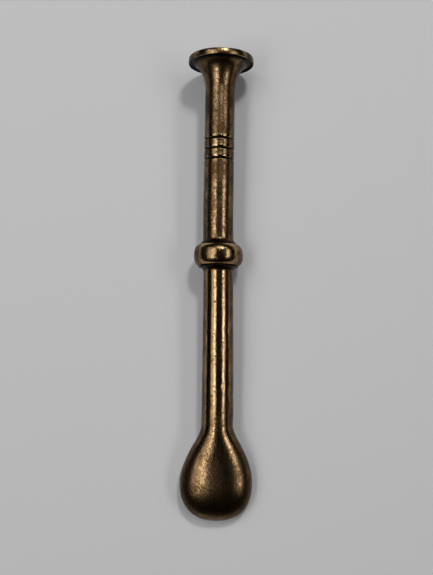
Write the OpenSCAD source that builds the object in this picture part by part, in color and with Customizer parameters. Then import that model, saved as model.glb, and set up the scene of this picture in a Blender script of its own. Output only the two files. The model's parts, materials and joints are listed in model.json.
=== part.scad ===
// Small brass hand tool: a tamping disc on a grooved shank, a knop, and a shank that ends in a domed scoop.
// It lies on its disc's rim and its scoop's belly, with its long axis along Y and the disc towards +Y.

/* [Overall] */
// Length of the tamper half, from the knop's upper face to the tamping face
tamper_len = 43.9; // [36:0.1:54]
// Length of the scoop half, from the knop's lower face to the scoop's tip
scoop_len = 56.9; // [46:0.1:69]

/* [Tamper] */
// Diameter of the tamping disc
disc_d = 15.2; // [12:0.1:19]
// Thickness of the disc's rim
rim_t = 1.4; // [0.8:0.1:2.5]
// Length of the trumpet flare between the disc's rim and the shank
flare_len = 6.1; // [4:0.1:8]
// Fullness of the flare: 2 is a quarter ellipse, and less is straighter
flare_power = 1.7; // [1.3:0.1:2.4]
// Diameter of the grooved shank
shank_d = 6.9; // [5.8:0.1:8.4]
// Diameter of the ring at the shank's foot, where it seats on the knop
foot_d = 8; // [7:0.1:9.4]
// Height of that ring
foot_ring_h = 0.35; // [0.2:0.05:0.8]
// Height of the small hollow curve above the ring
foot_cove_h = 1.1; // [0.5:0.1:2]

/* [Grooves] */
// Number of turned grooves
groove_count = 3; // [1:1:5]
// Distance from the tamping face to the first groove
groove_start = 19.6; // [14:0.1:22]
// Spacing of the grooves
groove_pitch = 2.35; // [1.2:0.05:3]
// Width of a groove at the surface
groove_w = 0.5; // [0.3:0.05:0.9]
// Depth of a groove
groove_depth = 0.22; // [0.1:0.01:0.4]

/* [Knop] */
// Diameter of the knop
knop_d = 11.2; // [9.6:0.1:13.4]
// Height of the knop along the tool
knop_h = 5.1; // [4.2:0.1:7]
// Radius that rounds the knop's shoulders
knop_round = 1.8; // [1:0.1:2]

/* [Scoop] */
// Diameter of the lower shank below its shoulder
lower_d = 6.8; // [5.8:0.1:8]
// Diameter of the lower shank at the neck of the scoop
neck_d = 7.2; // [6.2:0.1:9]
// Diameter of the shoulder that the knop seats on
shoulder_d = 9.2; // [8.2:0.1:10.8]
// Height of the hollow curve under the shoulder
shoulder_h = 1.4; // [0.8:0.1:2.4]
// Greatest width of the scoop
bowl_w = 16.3; // [13.4:0.1:19.4]
// Distance from the tip to the widest place
bowl_nose = 8.4; // [7:0.1:10]
// Distance from the tip to the neck, where the shank begins to spread
bowl_len = 21.1; // [18:0.1:25]
// Height of the scoop's dome above its edge line
dome_h = 4.7; // [3.8:0.1:5.6]
// Fullness of the dome across the scoop: 2 is half an ellipse, and more is flatter on top
dome_power = 2.45; // [2:0.05:2.8]
// Depth of the scoop's belly below its edge line
belly_h = 1.7; // [1.2:0.1:2.4]
// How far the edge line lies below the shank's axis
edge_drop = 1.75; // [1:0.05:2]

/* [Stud] */
// Diameter of the hidden stud
stud_d = 3; // [2.4:0.1:3.6]
// Length of the stud that is screwed into each shank
stud_grip = 5.5; // [4:0.1:8]
// Gap between the stud's side and the knop's bore
stud_gap = 0.05; // [0.02:0.01:0.1]
// Depth that each socket runs past the stud's end
socket_spare = 0.5; // [0:0.1:1]

/* [Hidden] */
$fn = 96;

// Radii, and places along the tool's axis, which starts from the knop's middle and runs towards the disc
disc_r = disc_d / 2;
shank_r = shank_d / 2;
foot_r = foot_d / 2;
knop_r = knop_d / 2;
bowl_r = bowl_w / 2;
knop_top = knop_h / 2;
face_at = knop_top + tamper_len;
rim_back = face_at - rim_t;
tip_at = -knop_top - scoop_len;
widest_at = tip_at + bowl_nose;
neck_at = tip_at + bowl_len;
stud_half = knop_top + stud_grip;

// Small edge breaks, the cone that a drill leaves at the bottom of a socket as a share of its radius, and
// how far a cut runs out past the face that it starts from
edge_break = 0.25;
stud_chamfer = 0.3;
drill_cone = 0.6;
run_out = 1;

// The flank is where the scoop's outline spreads fastest. Its place, width and slope are shares of the
// spread from the neck to the widest place.
flank_share = 0.385;
flank_spread = 0.46;
flank_steepness = 1.5;
bowl_spread = bowl_r - neck_d / 2;
flank_at = neck_at + flank_share * (widest_at - neck_at);
flank_r = neck_d / 2 + flank_spread * bowl_spread;
flank_slope = flank_steepness * bowl_spread / (neck_at - widest_at);
// Slope at which the outline leaves the neck, and the fullness of the rounded nose
neck_slope = 0.05;
nose_power = 2.35;

// Steps that the curves are drawn with
cove_steps = 6;
flare_steps = 16;
round_steps = 10;
spread_steps = 16;
nose_steps = 14;
// Corners round a section. An even number that isn't a multiple of 4 puts corners at the scoop's two sides
// and a flat under it, so that the tool lies steady and doesn't rock on a ridge.
section_steps = 42;

// Cubic curve between two heights with a slope at each end, over a stretch of the axis
function ease(t, y0, y1, m0, m1) = (2 * t ^ 3 - 3 * t ^ 2 + 1) * y0 + (t ^ 3 - 2 * t ^ 2 + t) * m0
    + (3 * t ^ 2 - 2 * t ^ 3) * y1 + (t ^ 3 - t ^ 2) * m1;
// The same curve by place along the axis, running from u0 down to u1
function along(u, u0, u1, y0, y1, s0, s1) =
    ease((u0 - u) / (u0 - u1), y0, y1, s0 * (u0 - u1), s1 * (u0 - u1));
// Quarter of a superellipse, 1 at t = 0 and 0 at t = 1
function quarter(t, power) = (1 - min(1, t) ^ power) ^ (1 / power);

// Half width of the scoop's outline, by place along the axis
function outline(u) =
    u < widest_at ? bowl_r * quarter((widest_at - u) / bowl_nose, nose_power) :
    u < flank_at ? along(u, flank_at, widest_at, flank_r, bowl_r, flank_slope, 0) :
    along(u, neck_at, flank_at, neck_d / 2, flank_r, neck_slope, flank_slope);
// Height of the edge line, the top line and the bottom line above the axis
function edge_line(u) = u < widest_at ? -edge_drop : along(u, neck_at, widest_at, 0, -edge_drop, 0, 0);
function top_line(u) =
    u < widest_at ? -edge_drop + dome_h * quarter((widest_at - u) / bowl_nose, 2) :
    along(u, neck_at, widest_at, neck_d / 2, dome_h - edge_drop, 0, 0);
function bottom_line(u) =
    u < widest_at ? -edge_drop - belly_h * quarter((widest_at - u) / bowl_nose, 2) :
    along(u, neck_at, widest_at, -neck_d / 2, -edge_drop - belly_h, 0, 0);

// Fullness of the section, from round at the neck to the dome's own at the widest place
function fullness(u) = u < widest_at ? dome_power : along(u, neck_at, widest_at, 2, dome_power, 0, 0);
// A point round a section, for an angle from its edge. It is a plain ellipse where the fullness is 2.
function round_at(a, power) = [
    sign(cos(a)) * abs(cos(a)) ^ (2 / power),
    sign(sin(a)) * abs(sin(a)) ^ (2 / power)];

// Places of the sections below the shoulder, closer together where the outline turns
nose_places = [for (i = [1:nose_steps - 1]) widest_at - bowl_nose * sin(90 * i / nose_steps)];
spread_places = [for (i = [0:spread_steps]) neck_at + (widest_at - neck_at) * i / spread_steps];
// Each section is [place, half width, edge line, height above it, depth below it, fullness]
shoulder_sections = [for (i = [0:cove_steps])
    let (r = lower_d / 2 + (shoulder_d - lower_d) / 2 * (1 - quarter(1 - i / cove_steps, 2)))
    [-knop_top - shoulder_h * i / cove_steps, r, 0, r, r, 2]];
bowl_places = concat(spread_places, nose_places);
bowl_sections = [for (u = bowl_places)
    [u, outline(u), edge_line(u), top_line(u) - edge_line(u), edge_line(u) - bottom_line(u), fullness(u)]];
sections = concat(shoulder_sections, bowl_sections);

// The tool leans on its disc's rim and its belly. Each pass turns it by what the belly still clears.
function belly_low(tilt) = min([for (u = bowl_places) u * sin(tilt) + bottom_line(u) * cos(tilt)]);
function rim_low(tilt) = rim_back * sin(tilt) - disc_r * cos(tilt);
function settle(tilt, passes) = passes == 0 ? tilt :
    settle(tilt + atan((belly_low(tilt) - rim_low(tilt)) / (rim_back - widest_at)), passes - 1);
lie_tilt = settle(0, 6);
lie_up = -rim_low(lie_tilt);
front_y = face_at * cos(lie_tilt) + disc_r * sin(lie_tilt);
back_y = tip_at * cos(lie_tilt) + edge_drop * sin(lie_tilt);
lie_shift = -(front_y + back_y) / 2;

// Places a piece drawn along Y on the surface that the tool lies on
module lying() {
    translate([0, lie_shift, lie_up]) rotate([lie_tilt, 0, 0]) children();
}

// Turns a half profile, drawn as [radius, place], about the tool's axis
module turned(profile) {
    rotate([-90, 0, 0]) rotate_extrude() polygon(profile);
}

// A plain round solid on the axis, from one place up to another
module round_bar(r, from, to) {
    translate([0, from, 0]) rotate([-90, 0, 0]) cylinder(r = r, h = to - from);
}

// Blind hole for the stud, from a mouth at one place, with the drill's cone at its bottom
module socket(mouth, up) {
    stud_r = stud_d / 2;
    depth = stud_grip + socket_spare;
    translate([0, mouth, 0]) rotate([up ? -90 : 90, 0, 0]) {
        translate([0, 0, -run_out]) cylinder(r = stud_r, h = depth + run_out);
        translate([0, 0, depth]) cylinder(r1 = stud_r, r2 = 0, h = stud_r * drill_cone);
    }
}

module tamper_shank() {
    cove_from = knop_top + foot_ring_h;
    cove = [for (i = [0:cove_steps])
        [shank_r + (foot_r - shank_r) * (1 - quarter(1 - i / cove_steps, 2)),
            cove_from + foot_cove_h * i / cove_steps]];
    grooves = [for (i = [groove_count - 1:-1:0])
        for (side = [-1:1])
            [shank_r - (side == 0 ? groove_depth : 0),
                face_at - groove_start - i * groove_pitch + side * groove_w / 2]];
    flare = [for (i = [0:flare_steps])
        let (t = sin(90 * i / flare_steps))
        [disc_r - edge_break - (disc_r - edge_break - shank_r) * quarter(t, flare_power),
            rim_back - flare_len * (1 - t)]];
    rim = [[disc_r, rim_back + edge_break], [disc_r, face_at - edge_break], [disc_r - edge_break, face_at]];
    color("#8c6a38") lying() difference() {
        turned(concat([[0, knop_top], [foot_r, knop_top]], cove, grooves, flare, rim, [[0, face_at]]));
        socket(knop_top, true);
    }
}

module knop() {
    corner_r = knop_r - knop_round;
    corner_at = knop_top - knop_round;
    upper = [for (i = [0:round_steps])
        let (turn = 90 * i / round_steps)
        [corner_r + knop_round * cos(turn), corner_at + knop_round * sin(turn)]];
    lower = [for (i = [round_steps:-1:0]) [upper[i][0], -upper[i][1]]];
    color("#9a7440") lying() difference() {
        turned(concat([[0, -knop_top]], lower, upper, [[0, knop_top]]));
        round_bar(stud_d / 2 + stud_gap, -knop_top - run_out, knop_top + run_out);
    }
}

module scoop_shank() {
    rings = len(sections);
    points = concat(
        [for (s = sections) for (k = [0:section_steps - 1])
            let (a = 360 * k / section_steps, c = round_at(a, s[5]))
            [s[1] * c[0], s[0], s[2] + (c[1] > 0 ? s[3] : s[4]) * c[1]]],
        [[0, tip_at, -edge_drop]]);
    top_cap = [[for (k = [0:section_steps - 1]) k]];
    walls = [for (r = [0:rings - 2]) for (k = [0:section_steps - 1])
        let (a = r * section_steps + k, b = r * section_steps + (k + 1) % section_steps)
        each [[a, a + section_steps, b + section_steps], [a, b + section_steps, b]]];
    last = (rings - 1) * section_steps;
    nose_cap = [for (k = [0:section_steps - 1])
        [last + k, rings * section_steps, last + (k + 1) % section_steps]];
    color("#846334") lying() difference() {
        polyhedron(points = points, faces = concat(top_cap, walls, nose_cap));
        socket(-knop_top, false);
    }
}

module joining_stud() {
    stud_r = stud_d / 2;
    color("#b08d4f") lying() turned([
        [0, -stud_half], [stud_r - stud_chamfer, -stud_half], [stud_r, -stud_half + stud_chamfer],
        [stud_r, stud_half - stud_chamfer], [stud_r - stud_chamfer, stud_half], [0, stud_half]]);
}

tamper_shank();
knop();
scoop_shank();
joining_stud();
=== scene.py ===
import json
import math

import bpy
from mathutils import Matrix, Vector, noise


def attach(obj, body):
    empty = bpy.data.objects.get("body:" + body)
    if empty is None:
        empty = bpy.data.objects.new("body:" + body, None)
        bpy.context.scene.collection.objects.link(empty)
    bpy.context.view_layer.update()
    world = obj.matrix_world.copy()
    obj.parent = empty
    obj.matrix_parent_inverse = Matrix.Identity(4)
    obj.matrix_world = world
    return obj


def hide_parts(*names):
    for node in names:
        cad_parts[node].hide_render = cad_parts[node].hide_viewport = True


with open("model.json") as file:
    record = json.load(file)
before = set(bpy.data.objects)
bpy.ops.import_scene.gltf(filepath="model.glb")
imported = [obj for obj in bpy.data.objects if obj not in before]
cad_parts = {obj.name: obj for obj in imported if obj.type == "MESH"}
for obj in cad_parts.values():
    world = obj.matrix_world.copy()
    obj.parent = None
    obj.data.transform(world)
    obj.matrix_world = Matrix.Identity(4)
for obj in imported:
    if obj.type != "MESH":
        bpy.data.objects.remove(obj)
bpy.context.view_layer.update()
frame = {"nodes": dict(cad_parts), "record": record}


# ------------------------------------------------------------------------------------------------
# Tamper shank. Brass bar turned to a flat disc, a trumpet flare and a plain shank with three grooves,
# and a small ring where its foot seats. Handling has rubbed the rim and the groove edges bright, and
# has left a brown film on the rest and black grime in the grooves. Behind the disc, round the foot and on
# the sides that face the table the darkening is grime and painted shade.

MM = 0.001
QUARTER_TURN = math.pi / 2

# The tool's axis starts at the middle of the tamping face. Places along it are millimetres from there.
face_mount = frame["record"]["mounts"][0]
face_centre = Vector(face_mount["pos_m"])
to_scoop = -Vector(face_mount["axis"]).normalized()
across = Vector((1, 0, 0))
upward = across.cross(-to_scoop)

DISC_R = 7.6
RIM_THICK = 1.4
FLARE_LEN = 6.1
FLARE_POWER = 1.7
SHANK_R = 3.45
GROOVE_COUNT = 3
GROOVE_START = 19.6
GROOVE_PITCH = 2.35
GROOVE_DEPTH = 0.24
LIP_HEIGHT = 0.02
FOOT_R = 4.0
FOOT_RING = 0.35
FOOT_COVE = 1.1
TAMPER_LEN = 43.9
STUD_R = 1.5
SOCKET_DEPTH = 6.0
DRILL_CONE = 0.9
BACK_INSET = 0.04
HOLLOW_WIDTH = 1.1
GRIP_FROM = 29.5
back_r = DISC_R - BACK_INSET
flare_r = back_r - HOLLOW_WIDTH
groove_middles = [GROOVE_START + GROOVE_PITCH * i for i in range(GROOVE_COUNT)]
cove_start = TAMPER_LEN - FOOT_RING - FOOT_COVE

# Tarnish goes from 0, bare of it, to 1, a full film with grime over most of it. From 1.3 up the grime has
# no gaps, and below 0 rubbing has taken off the scattered clouds of film too. The same scale also paints
# shade: on the sides that face the table, behind the disc and round the knop.
RUBBED = -0.6
BARE = 0.0
FULL_GRIME_AND_SHADE = 1.0
# grime and painted shade: solid black in the hollow behind the disc
CAKED_GRIME_AND_SHADE = 1.4
FACE_TARNISH = 0.6
RIM_TARNISH = 0.1
RIM_TARNISH_GROWTH = 0.3
FLARE_TARNISH = 0.42
SHANK_TARNISH = 0.45
BELOW_GROOVES_TARNISH = 0.38
GRIP_TARNISH = 0.3
SOCKET_TARNISH = 0.5
# painted shade, with grime: how dark the sides that face the table are
LOW_SIDE_GRIME_AND_SHADE = 0.75


def between(start, end, steps):
    """Even steps from start to end, leaving out start itself."""
    return [start + (end - start) * i / steps for i in range(1, steps + 1)]


def quarter(t, power):
    """A quarter of a superellipse: 1 at t = 0, and 0 at t = 1."""
    return (1 - min(1.0, t) ** power) ** (1 / power)


def bow(place):
    """The old tool is a little bent: how far its middle line has moved across, in mm."""
    stops = [(0, 0.02), (10, -0.14), (38, -0.17), (48, 0.0), (60, 0.09), (72, 0.2), (86, 0.24), (98, 0.02),
             (106, 0.02)]
    for (from_place, from_bow), (to_place, to_bow) in zip(stops, stops[1:]):
        if place <= to_place:
            t = max(0.0, (place - from_place) / (to_place - from_place))
            return from_bow + (to_bow - from_bow) * t * t * (3 - 2 * t)
    return stops[-1][1]


def skin(name, stations, sides, marks=(), ring_closed=False):
    """A closed skin round the tool's axis.

    Each station is (place, half width, middle, rise, fall, fullness, tarnish, low tarnish), in mm from
    the tamping face and from the axis. A fullness of 2 is round. The low tarnish is on the sides that
    face the table: it is painted shade, with grime where no finger rubs. Each mark is (place, angle,
    length along, length round, depth), and one with a depth below 0 is a bump.
    """
    verts, faces, tarnish_and_shade = [], [], []
    on_axis = 1e-6
    # hand work is never quite round: slow waves about 3 mm long, and finer ones about 1 mm long
    slow_height, slow_per_mm = 0.024, 0.35
    fine_height, fine_per_mm = 0.012, 1.1
    fine_shift = Vector((7, 3, 1))
    # the low tarnish, painted shade with grime, begins on a side that has turned this far, as a cosine, and
    # is full a little lower
    side_from, side_ramp = 0.66, 0.2

    def dented(place, degrees):
        depth = 0.0
        for m_place, m_angle, m_along, m_round, m_depth in marks:
            turn = (degrees - m_angle + 180) % 360 - 180
            reach = ((place - m_place) / m_along) ** 2 + (math.radians(turn) * SHANK_R / m_round) ** 2
            if reach < 9:
                depth += m_depth * math.exp(-reach)
        return depth

    def point(station, side):
        place, half, middle, rise, fall, fullness = station[:6]
        angle = math.tau * side / sides
        width, height = (math.copysign(abs(part) ** (2 / fullness), part)
                         for part in (math.cos(angle), math.sin(angle)))
        reach = rise if height > 0 else fall
        spot = Vector((half * width, place, reach * height))
        wave = (slow_height * noise.noise(spot * slow_per_mm)
                + fine_height * noise.noise(spot * fine_per_mm + fine_shift))
        # the sockets and the bore were drilled, so they stay nearly true
        uneven = max(0.0, min(1.0, half - STUD_R))
        grow = 1 + uneven * (wave - dented(place, math.degrees(angle))) / max(half, 1.0)
        x = half * width * grow + bow(place)
        z = middle + reach * height * grow
        return face_centre + (to_scoop * place + across * x + upward * z) * MM

    rings = []
    for station in stations:
        ring_sides = 1 if station[1] < on_axis else sides
        rings.append(list(range(len(verts), len(verts) + ring_sides)))
        for side in range(ring_sides):
            verts.append(point(station, side))
            cosine, sine = math.cos(math.tau * side / sides), math.sin(math.tau * side / sides)
            # painted shade, with grime: the sides that face the table take the low tarnish
            low = 1.0 if sine < 0 else max(0.0, min(1.0, (abs(cosine) - side_from) / side_ramp))
            tarnish_and_shade.append(station[6] + max(0.0, station[7] - station[6]) * low)
    pairs = list(zip(rings, rings[1:]))
    if ring_closed:
        pairs.append((rings[-1], rings[0]))
    for ring, following in pairs:
        for side in range(sides):
            beside = (side + 1) % sides
            if len(ring) == 1:
                faces.append((ring[0], following[side], following[beside]))
            elif len(following) == 1:
                faces.append((ring[side], following[0], ring[beside]))
            else:
                faces.append((ring[side], following[side], following[beside], ring[beside]))
    mesh = bpy.data.meshes.new(name)
    mesh.from_pydata(verts, [], faces)
    mesh.attributes.new("tarnish_and_shade", "FLOAT", "POINT").data.foreach_set("value", tarnish_and_shade)
    mesh.shade_smooth()
    mesh.update()
    piece = bpy.data.objects.new(name, mesh)
    bpy.context.scene.collection.objects.link(piece)
    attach(piece, "root")
    return piece


def turned(points, low):
    """Stations of a turned piece, from (place, radius, tarnish) points and the tarnish low on its sides,
    which is painted shade with grime.
    """
    return [(place, r, 0.0, r, r, 2, dirt_and_shade, low) for place, r, dirt_and_shade in points]


def disc_points():
    """The disc from the middle of its face, over the rim and into the hollow behind it."""
    # the rim is worn to a low crown that falls away to the face, and its back edge is a bright arris
    crown_at, crown_curve_r, nose_r, arris_r = 0.8, 3.5, 0.1, 0.12
    front_r = DISC_R - (crown_at - nose_r) ** 2 / (2 * crown_curve_r)
    hub_r = 0.6
    points = [(0.0, 0.0, FACE_TARNISH)]
    points += [(0.0, r, FACE_TARNISH) for r in between(hub_r, front_r - nose_r, 9)]
    points += [(nose_r * (1 - math.cos(turn)), front_r - nose_r * (1 - math.sin(turn)), RIM_TARNISH)
               for turn in between(0, QUARTER_TURN, 5)]
    points += [(place, DISC_R - (crown_at - place) ** 2 / (2 * crown_curve_r),
                RIM_TARNISH + RIM_TARNISH_GROWTH * place)
               for place in between(nose_r, RIM_THICK - arris_r, 12)]
    points += [(RIM_THICK - arris_r * (1 - math.sin(turn)), back_r - arris_r * (1 - math.cos(turn)), BARE)
               for turn in between(0, QUARTER_TURN, 4)]
    # behind it is a shallow hollow that no cloth reaches, solid black with grime and painted shade:
    # (forward of the back edge, in from it, tarnish)
    points += [(RIM_THICK - forward, back_r - inward, dirt_and_shade) for forward, inward, dirt_and_shade in (
        (0.04, 0.2, 0.9), (0.3, 0.34, CAKED_GRIME_AND_SHADE), (0.4, 0.6, CAKED_GRIME_AND_SHADE), (0.36, 0.95, CAKED_GRIME_AND_SHADE))]
    return points


def flare_points():
    """The trumpet flare, with grime and painted shade that thicken towards the disc."""
    grime_and_shade_from_r, grime_and_shade_growth = 4.8, 0.95
    points = []
    for t in between(1, 0, 40):
        along = math.sin(t * QUARTER_TURN)
        r = flare_r - (flare_r - SHANK_R) * quarter(along, FLARE_POWER)
        # grime and painted shade: darker towards the disc, under the rim
        grime_and_shade = max(0.0, (r - grime_and_shade_from_r) / (flare_r - grime_and_shade_from_r)) ** 2
        points.append((RIM_THICK + FLARE_LEN * (1 - along), r, FLARE_TARNISH + grime_and_shade_growth * grime_and_shade))
    return points


def groove_points():
    """Each groove has a rubbed lip, a rounded fall, a black floor and a crisp far edge."""
    wall_depth = 0.8 * GROOVE_DEPTH
    lip_shoulder = 0.6 * LIP_HEIGHT
    # (place from the groove's middle, height over the shank, tarnish)
    section = (
        (-0.8, 0.0, 0.2), (-0.68, lip_shoulder, RUBBED), (-0.58, LIP_HEIGHT, RUBBED),
        (-0.5, lip_shoulder, RUBBED), (-0.4, -0.015, BARE), (-0.3, -0.05, BARE), (-0.24, -0.09, 0.3),
        (-0.2, -wall_depth, FULL_GRIME_AND_SHADE), (0, -GROOVE_DEPTH, FULL_GRIME_AND_SHADE), (0.2, -wall_depth, FULL_GRIME_AND_SHADE),
        (0.26, -0.02, 0.6), (0.29, 0.0, 0.3), (0.34, 0.0, 0.15), (0.6, 0.0, 0.2))
    return [(middle + offset, SHANK_R + height, dirt_and_shade)
            for middle in groove_middles for offset, height, dirt_and_shade in section]


def foot_points():
    """The cove and ring at the foot, its seat, and the blind socket for the stud."""
    ring_swell, ring_edge, seat_r = 0.02, 0.08, 2.6
    # grime and painted shade: the cove darkens into the ring, which is black next to the knop
    points = [(cove_start + FOOT_COVE * t, SHANK_R + (FOOT_R - SHANK_R) * (1 - quarter(t, 2)),
               min(FULL_GRIME_AND_SHADE, 0.1 + 1.1 * t))
              for t in between(0, 1, 8)]
    points += [(cove_start + FOOT_COVE + ring_edge, FOOT_R + ring_swell, FULL_GRIME_AND_SHADE),
               (TAMPER_LEN - 0.1, FOOT_R + ring_swell, FULL_GRIME_AND_SHADE), (TAMPER_LEN, FOOT_R - ring_edge, FULL_GRIME_AND_SHADE),
               (TAMPER_LEN, seat_r, FULL_GRIME_AND_SHADE), (TAMPER_LEN, STUD_R, FULL_GRIME_AND_SHADE),
               (TAMPER_LEN - SOCKET_DEPTH, STUD_R, SOCKET_TARNISH),
               (TAMPER_LEN - SOCKET_DEPTH - DRILL_CONE, 0.0, SOCKET_TARNISH)]
    return points


before_grooves, after_grooves = 1.0, 0.9
upper_shank = [(place, SHANK_R, SHANK_TARNISH)
               for place in between(RIM_THICK + FLARE_LEN, groove_middles[0] - before_grooves, 26)]
middle_shank = [(place, SHANK_R, BELOW_GROOVES_TARNISH if place < GRIP_FROM else GRIP_TARNISH)
                for place in between(groove_middles[-1] + after_grooves, cove_start, 40)]
tamper_profile = (disc_points() + flare_points() + upper_shank + groove_points() + middle_shank
                  + foot_points())

tamper = skin("tamper_shank_skin", turned(tamper_profile, LOW_SIDE_GRIME_AND_SHADE), 144)
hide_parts("tamper_shank")


def linear(hex_colour):
    """An sRGB hex colour as linear RGBA."""
    srgb = [int(hex_colour[i:i + 2], 16) / 255 for i in (1, 3, 5)]
    return [c / 12.92 if c <= 0.04045 else ((c + 0.055) / 1.055) ** 2.4 for c in srgb] + [1.0]


def add(material, kind, settings=None, **inputs):
    """Adds a node. settings are its properties. Each input is a value or an output to link to it."""
    node = material.node_tree.nodes.new(kind)
    for key, value in (settings or {}).items():
        setattr(node, key, value)
    for key, value in inputs.items():
        numbered = key[0] == "i" and key[1:].isdigit()
        socket = node.inputs[int(key[1:])] if numbered else node.inputs[key.replace("_", " ")]
        if isinstance(value, bpy.types.NodeSocket):
            material.node_tree.links.new(value, socket)
        else:
            socket.default_value = value
    return node


def aged_brass(name, bright, brown, dark, grain_mm, shine, cloudiness, dint_mm):
    """Brass under a thin brown film of oxide, the colour of old handled metal.

    The film lies in clouds a few millimetres wide and in grains, so that reflections keep their shape
    but break up at their edges. Black grime fills the cuts and the pits, and the tarnish attribute also
    paints shade as film and grime. The real grains are under a tenth of a millimetre, too fine to show,
    so they are drawn coarser, at grain_mm. shine is the roughness where the metal is bare, and dint_mm
    is how deep the pits are.
    """
    cloud_mm, pit_mm, grain_height_mm = 3.0, 0.55, 0.02
    film_in_grains, film_with_tarnish = 0.4, 0.8
    grime_on_clouds, grime_on_grains = 0.35, 0.25
    rough_of_film, rough_of_grime = 0.2, 0.12
    material = bpy.data.materials.new(name)
    material.use_nodes = True
    material.node_tree.nodes.clear()
    spot = add(material, "ShaderNodeTexCoord").outputs["Object"]
    # rubbing along the tool has drawn the grain out lengthwise
    drawn = add(material, "ShaderNodeMapping", Vector=spot, Scale=(1.0, 0.55, 1.0)).outputs[0]
    dirt_and_shade = add(material, "ShaderNodeAttribute", {"attribute_name": "tarnish_and_shade"}).outputs["Fac"]
    clouds = add(material, "ShaderNodeTexNoise", Vector=drawn, Scale=1 / (cloud_mm * MM), Detail=5.0,
                 Roughness=0.65).outputs["Fac"]
    grain = add(material, "ShaderNodeTexNoise", Vector=drawn, Scale=1 / (grain_mm * MM), Detail=2.0,
                Roughness=0.6).outputs["Fac"]
    patches = add(material, "ShaderNodeMapRange", Value=clouds, i1=0.38, i2=0.68).outputs[0]
    grains = add(material, "ShaderNodeMapRange", Value=grain, i1=0.35, i2=0.7).outputs[0]
    clouded = add(material, "ShaderNodeMath", {"operation": "MULTIPLY"}, i0=patches,
                  i1=cloudiness).outputs[0]
    speckled = add(material, "ShaderNodeMath", {"operation": "MULTIPLY_ADD"}, i0=grains,
                   i1=film_in_grains, i2=clouded).outputs[0]
    film = add(material, "ShaderNodeMath", {"operation": "MULTIPLY_ADD", "use_clamp": True}, i0=dirt_and_shade,
               i1=film_with_tarnish, i2=speckled).outputs[0]
    # black grime lies deep where nothing rubs, painted shade lies where the tarnish carries it, and grime
    # lies in scattered pits, which are drawn coarser than real
    pits = add(material, "ShaderNodeTexNoise", Vector=spot, Scale=1 / (pit_mm * MM),
               Detail=1.0).outputs["Fac"]
    pitted = add(material, "ShaderNodeMapRange", Value=pits, i1=0.6, i2=0.72, i4=0.7).outputs[0]
    uneven = add(material, "ShaderNodeMath", {"operation": "MULTIPLY_ADD"}, i0=patches,
                 i1=grime_on_clouds, i2=dirt_and_shade).outputs[0]
    deep = add(material, "ShaderNodeMath", {"operation": "MULTIPLY_ADD"}, i0=grains,
               i1=grime_on_grains, i2=uneven).outputs[0]
    lying = add(material, "ShaderNodeMapRange", Value=deep, i1=0.5, i2=1.3).outputs[0]
    grime_and_shade = add(material, "ShaderNodeMath", {"operation": "MAXIMUM"}, i0=lying, i1=pitted).outputs[0]
    filmed = add(material, "ShaderNodeMix", {"data_type": "RGBA"}, i0=film, i6=linear(bright),
                 i7=linear(brown)).outputs[2]
    colour = add(material, "ShaderNodeMix", {"data_type": "RGBA"}, i0=grime_and_shade, i6=filmed,
                 i7=linear(dark)).outputs[2]
    rough = add(material, "ShaderNodeMath", {"operation": "MULTIPLY_ADD"}, i0=film,
                i1=rough_of_film, i2=shine).outputs[0]
    rougher = add(material, "ShaderNodeMath", {"operation": "MULTIPLY_ADD"}, i0=grime_and_shade,
                  i1=rough_of_grime, i2=rough).outputs[0]
    fine = add(material, "ShaderNodeBump", Height=grain, Strength=1.0,
               Distance=grain_height_mm * MM).outputs[0]
    bump = add(material, "ShaderNodeBump", Height=pits, Strength=1.0, Distance=dint_mm * MM,
               Normal=fine).outputs[0]
    shader = add(material, "ShaderNodeBsdfPrincipled", Base_Color=colour, Metallic=1.0,
                 Roughness=rougher, Normal=bump)
    add(material, "ShaderNodeOutputMaterial", Surface=shader.outputs[0])
    return material


# Turned brass that has been handled for years: long bright streaks, mottled with brown.
tamper.data.materials.append(
    aged_brass("brass_turned_and_handled", "#caaa80", "#6e5030", "#0b0805", 0.24, 0.1, 0.55, 0.022))


# ------------------------------------------------------------------------------------------------
# Knop. A barrel ring turned from the same brass, bored through and gripped between the two shanks. It is
# the part that the fingers turn on, so it has lost its crisp edges, and its small pits are the deepest.

KNOP_R = 5.6
KNOP_H = 5.1
KNOP_ROUND = 1.8
KNOP_BORE_R = 1.55
knop_middle = TAMPER_LEN + KNOP_H / 2


def knop_profile():
    """(place, radius, tarnish) points up the outside of the barrel and back down its bore."""
    # fingers have worn the flat of the barrel into one curve that is a little fuller than a circle
    barrel_power, barrel_ease = 2.6, 1.25
    grime_and_shade_from_r, grime_and_shade_ramp = 4.5, 0.6
    half, corner = KNOP_H / 2, KNOP_R - KNOP_ROUND
    break_width, seat_r = 0.3, 2.6
    barrel = []
    for turn in between(-QUARTER_TURN, QUARTER_TURN, 36):
        height = half * math.copysign(abs(math.sin(turn)) ** (2 / barrel_power), turn)
        worn_round = quarter(abs(height) / half, barrel_power) ** barrel_ease
        barrel.append((height, corner + KNOP_ROUND * worn_round))
    # grime and painted shade: the barrel is black on its end faces, next to the shanks, and darkens towards
    # them
    points = [(-half, corner - break_width, FULL_GRIME_AND_SHADE), (-half, corner, 0.9)]
    points += [(height, r, max(BARE, min(FULL_GRIME_AND_SHADE, (grime_and_shade_from_r - r) / grime_and_shade_ramp))) for height, r in barrel]
    points += [(half, corner - break_width, FULL_GRIME_AND_SHADE), (half, KNOP_BORE_R, FULL_GRIME_AND_SHADE)]
    points += [(height, KNOP_BORE_R, SOCKET_TARNISH) for height in between(half, -half, 4)]
    points += [(-half, seat_r, FULL_GRIME_AND_SHADE)]
    return [(knop_middle + height, r, dirt_and_shade) for height, r, dirt_and_shade in points]


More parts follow.
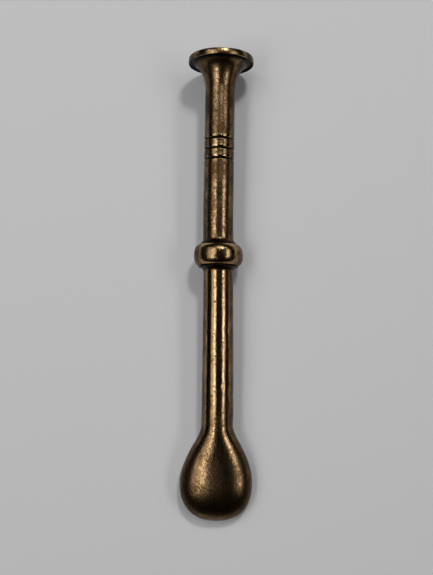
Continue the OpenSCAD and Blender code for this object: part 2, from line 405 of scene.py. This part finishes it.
knop = skin("knop_skin", turned(knop_profile(), LOW_SIDE_GRIME_AND_SHADE), 128, ring_closed=True, marks=[
    (knop_middle + 0.2, 103, 2.2, 1.2, 0.07), (knop_middle + 0.4, 63, 0.9, 0.9, -0.04),
    (knop_middle - 0.9, 118, 0.6, 0.6, 0.03), (knop_middle + 0.8, 84, 0.6, 0.6, 0.03)])
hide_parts("knop")
# The same brass, rubbed bright by fingers. Its reflections are broad, and its deeper pits make their
# edges uneven.
knop.data.materials.append(
    aged_brass("brass_rubbed_bright", "#cdab80", "#6c4e2c", "#0b0805", 0.23, 0.1, 0.55, 0.035))


# ------------------------------------------------------------------------------------------------
# Scoop shank. The lower half is forged and filed from one brass bar: a hollow-sided shoulder under
# the knop, a slowly swelling round shank, and a bowl hammered out to a shallow domed teardrop.

LOWER_R = 3.4
NECK_R = 3.6
NECK_SLOPE = 0.05
SHOULDER_R = 4.6
SHOULDER_H = 1.4
BOWL_R = 8.15
BOWL_NOSE = 8.4
BOWL_LEN = 21.1
SCOOP_LEN = 56.9
DOME_H = 4.7
DOME_POWER = 2.45
BELLY_H = 1.7
EDGE_DROP = 1.75
NOSE_POWER = 2.35
# The flank is where the outline spreads fastest, as shares of the way and the spread from neck to widest.
FLANK_SHARE = 0.385
FLANK_SPREAD = 0.46
FLANK_STEEPNESS = 1.5
# painted shade, with grime: how dark the bowl's sides that face the table are
BOWL_SIDE_GRIME_AND_SHADE = 0.8
shoulder_at = TAMPER_LEN + KNOP_H
tip_at = shoulder_at + SCOOP_LEN
widest_at = tip_at - BOWL_NOSE
neck_at = tip_at - BOWL_LEN
bowl_spread = BOWL_R - NECK_R
flank_at = neck_at + FLANK_SHARE * (widest_at - neck_at)
flank_r = NECK_R + FLANK_SPREAD * bowl_spread
flank_slope = FLANK_STEEPNESS * bowl_spread / (widest_at - neck_at)


def curve(place, start, end, at_start, at_end, start_slope=0.0, end_slope=0.0):
    """A cubic from one value at start to another at end, with a slope at each."""
    run = end - start
    t = (place - start) / run
    return ((2 * t ** 3 - 3 * t ** 2 + 1) * at_start + (t ** 3 - 2 * t ** 2 + t) * start_slope * run
            + (3 * t ** 2 - 2 * t ** 3) * at_end + (t ** 3 - t ** 2) * end_slope * run)


def bowl_station(place):
    """A station of the bowl, from its neck over the widest place to its rounded nose."""
    if place > widest_at:
        t = (place - widest_at) / BOWL_NOSE
        round_off = quarter(t, 2)
        return (place, BOWL_R * quarter(t, NOSE_POWER), -EDGE_DROP, DOME_H * round_off,
                BELLY_H * round_off, DOME_POWER, 0.5 + 0.2 * t * t, BOWL_SIDE_GRIME_AND_SHADE)
    if place > flank_at:
        half = curve(place, flank_at, widest_at, flank_r, BOWL_R, flank_slope)
    else:
        half = curve(place, neck_at, flank_at, NECK_R, flank_r, NECK_SLOPE, flank_slope)
    t = (place - neck_at) / (widest_at - neck_at)
    middle = curve(place, neck_at, widest_at, 0.0, -EDGE_DROP)
    top = curve(place, neck_at, widest_at, NECK_R, DOME_H - EDGE_DROP)
    bottom = curve(place, neck_at, widest_at, -NECK_R, -EDGE_DROP - BELLY_H)
    fullness = curve(place, neck_at, widest_at, 2, DOME_POWER)
    return (place, half, middle, top - middle, middle - bottom, fullness, 0.3 + 0.15 * t,
            BOWL_SIDE_GRIME_AND_SHADE)


def scoop_stations():
    """Stations from the bottom of the socket, out over the shoulder, down the shank and round the bowl."""
    seat_r, edge_break, edge_round = 2.8, 0.15, 0.04
    socket = [(shoulder_at + SOCKET_DEPTH + DRILL_CONE, 0.0, SOCKET_TARNISH),
              (shoulder_at + SOCKET_DEPTH, STUD_R, SOCKET_TARNISH), (shoulder_at, STUD_R, FULL_GRIME_AND_SHADE),
              (shoulder_at, seat_r, FULL_GRIME_AND_SHADE), (shoulder_at, SHOULDER_R - edge_break, FULL_GRIME_AND_SHADE),
              (shoulder_at + edge_round, SHOULDER_R - edge_round, 0.6)]
    # the shoulder's hollow side starts just under its edge, and is darkest there, under the knop: grime and
    # painted shade
    edge_h = 0.1
    hollow = [(shoulder_at + edge_h + (SHOULDER_H - edge_h) * t,
               LOWER_R + (SHOULDER_R - LOWER_R) * (1 - quarter(1 - t, 2)), min(FULL_GRIME_AND_SHADE, 1.6 - 1.4 * t))
              for t in [0.0] + between(0, 1, 12)]
    # the film is thinnest where the fingers hold, and grows towards the knop and the bowl
    hold_from, hold_to = 62, 74
    shank_from = shoulder_at + SHOULDER_H
    taper = (NECK_R - LOWER_R) / (neck_at - shank_from)
    shank = []
    for place in between(shank_from, neck_at, 90):
        film = 0.08 + 0.034 * max(0.0, place - hold_to) + 0.01 * max(0.0, hold_from - place)
        shank.append((place, LOWER_R + taper * (place - shank_from), film))
    bowl = [bowl_station(place) for place in between(neck_at, widest_at, 50)]
    bowl += [bowl_station(widest_at + BOWL_NOSE * math.sin(turn))
             for turn in between(0, QUARTER_TURN, 40)[:-1]]
    tip = (tip_at, 0.0, -EDGE_DROP, 0.0, 0.0, 2, 0.7, BOWL_SIDE_GRIME_AND_SHADE)
    return turned(socket + hollow + shank, LOW_SIDE_GRIME_AND_SHADE) + bowl + [tip]


scoop = skin("scoop_shank_skin", scoop_stations(), 160, marks=[
    (76.1, 69, 0.5, 0.3, 0.045), (77.0, 60, 1.2, 0.5, -0.02), (63.5, 34, 1.2, 0.7, 0.07),
    (78.1, 18, 1.0, 1.2, 0.1), (84.7, 5, 1.6, 1.4, 0.1)])
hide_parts("scoop_shank")
# Forged and filed brass, less clouded than the upper half: cleaner streaks, and a soft glow on the bowl.
scoop.data.materials.append(
    aged_brass("brass_forged_and_filed", "#caaa80", "#765634", "#0b0805", 0.23, 0.08, 0.32, 0.013))


# ------------------------------------------------------------------------------------------------
# Joining stud. A short brass rod that passes through the knop and is screwed into both shanks. It is
# closed in on all sides, so no air or finger has darkened it.

stud = frame["nodes"]["joining_stud"]
stud.data.materials.clear()
# Drawn rod, as it comes from the mill: pale and satin, with only a faint clouding.
stud.data.materials.append(
    aged_brass("brass_rod_as_drawn", "#d8bc80", "#b08c50", "#5c4424", 0.25, 0.3, 0.4, 0.01))


# ------------------------------------------------------------------------------------------------
# The setting. The tool lies on a pale matt board in a dark room, under soft lights that each show as a
# streak along the metal, with the camera nearly straight above it.

floor_half = 3
floor_mesh = bpy.data.meshes.new("floor")
floor_mesh.from_pydata([(-floor_half, -floor_half, 0), (floor_half, -floor_half, 0),
                        (floor_half, floor_half, 0), (-floor_half, floor_half, 0)], [], [(0, 1, 2, 3)])
floor = bpy.data.objects.new("floor", floor_mesh)
bpy.context.scene.collection.objects.link(floor)
pale = bpy.data.materials.new("pale_matt_board")
pale.use_nodes = True
pale.node_tree.nodes.clear()
board = add(pale, "ShaderNodeBsdfPrincipled", Base_Color=linear("#f5f5f6"), Roughness=0.95,
            Specular_IOR_Level=0.1)
add(pale, "ShaderNodeOutputMaterial", Surface=board.outputs[0])
floor_mesh.materials.append(pale)


def softbox(name, lean_x, lean_y, half_x, half_y, radiance, away=0.7):
    """A flat light at a lean from straight up. half_x and half_y are half its width. All in degrees."""
    way = Vector((math.tan(math.radians(lean_x)), math.tan(math.radians(lean_y)), 1)).normalized()
    data = bpy.data.lights.new(name, "AREA")
    data.shape = "RECTANGLE"
    data.size = 2 * away * math.tan(math.radians(half_x))
    data.size_y = 2 * away * math.tan(math.radians(half_y))
    data.energy = radiance * math.pi * data.size * data.size_y
    lamp = bpy.data.objects.new(name, data)
    lamp.location = way * away
    side = Vector((0, 1, 0)).cross(way).normalized()
    lamp.rotation_euler = Matrix((side, way.cross(side), way)).transposed().to_euler()
    bpy.context.scene.collection.objects.link(lamp)


softbox("left_strip", -22, -11, 5, 18, 3.6, away=0.5)
softbox("left_far_strip", -22, 18, 6, 10.5, 2.1, away=0.5)
softbox("left_dim_panel", -37, 2, 10, 31, 1.0, away=0.5)
softbox("right_strip", 43, -5, 4, 11.5, 3.2)
softbox("right_far_strip", 43, 15, 6.5, 8.5, 1.2)
softbox("right_dim_panel", 46, 3, 9, 28, 0.6)
softbox("far_dim_panel", 8, 36, 16, 13, 0.6)
softbox("small_key", 15.6, 33, 3.5, 3.5, 40)

world = bpy.data.worlds.new("room")
bpy.context.scene.world = world
world.use_nodes = True
world.node_tree.nodes["Background"].inputs["Color"].default_value = (0.9, 0.95, 1.0, 1)
world.node_tree.nodes["Background"].inputs["Strength"].default_value = 0.003

camera_data = bpy.data.cameras.new("camera")
camera_data.sensor_width = 36
camera_data.lens = 55.4
camera_data.clip_start = 0.01
camera = bpy.data.objects.new("camera", camera_data)
camera.location = Vector((8.65, -30.8, 204.3)) * MM
camera.rotation_euler = [math.radians(a) for a in (8.551, 2.46, 0.881)]
bpy.context.scene.collection.objects.link(camera)
bpy.context.scene.camera = camera
bpy.context.scene.view_settings.view_transform = "Standard"
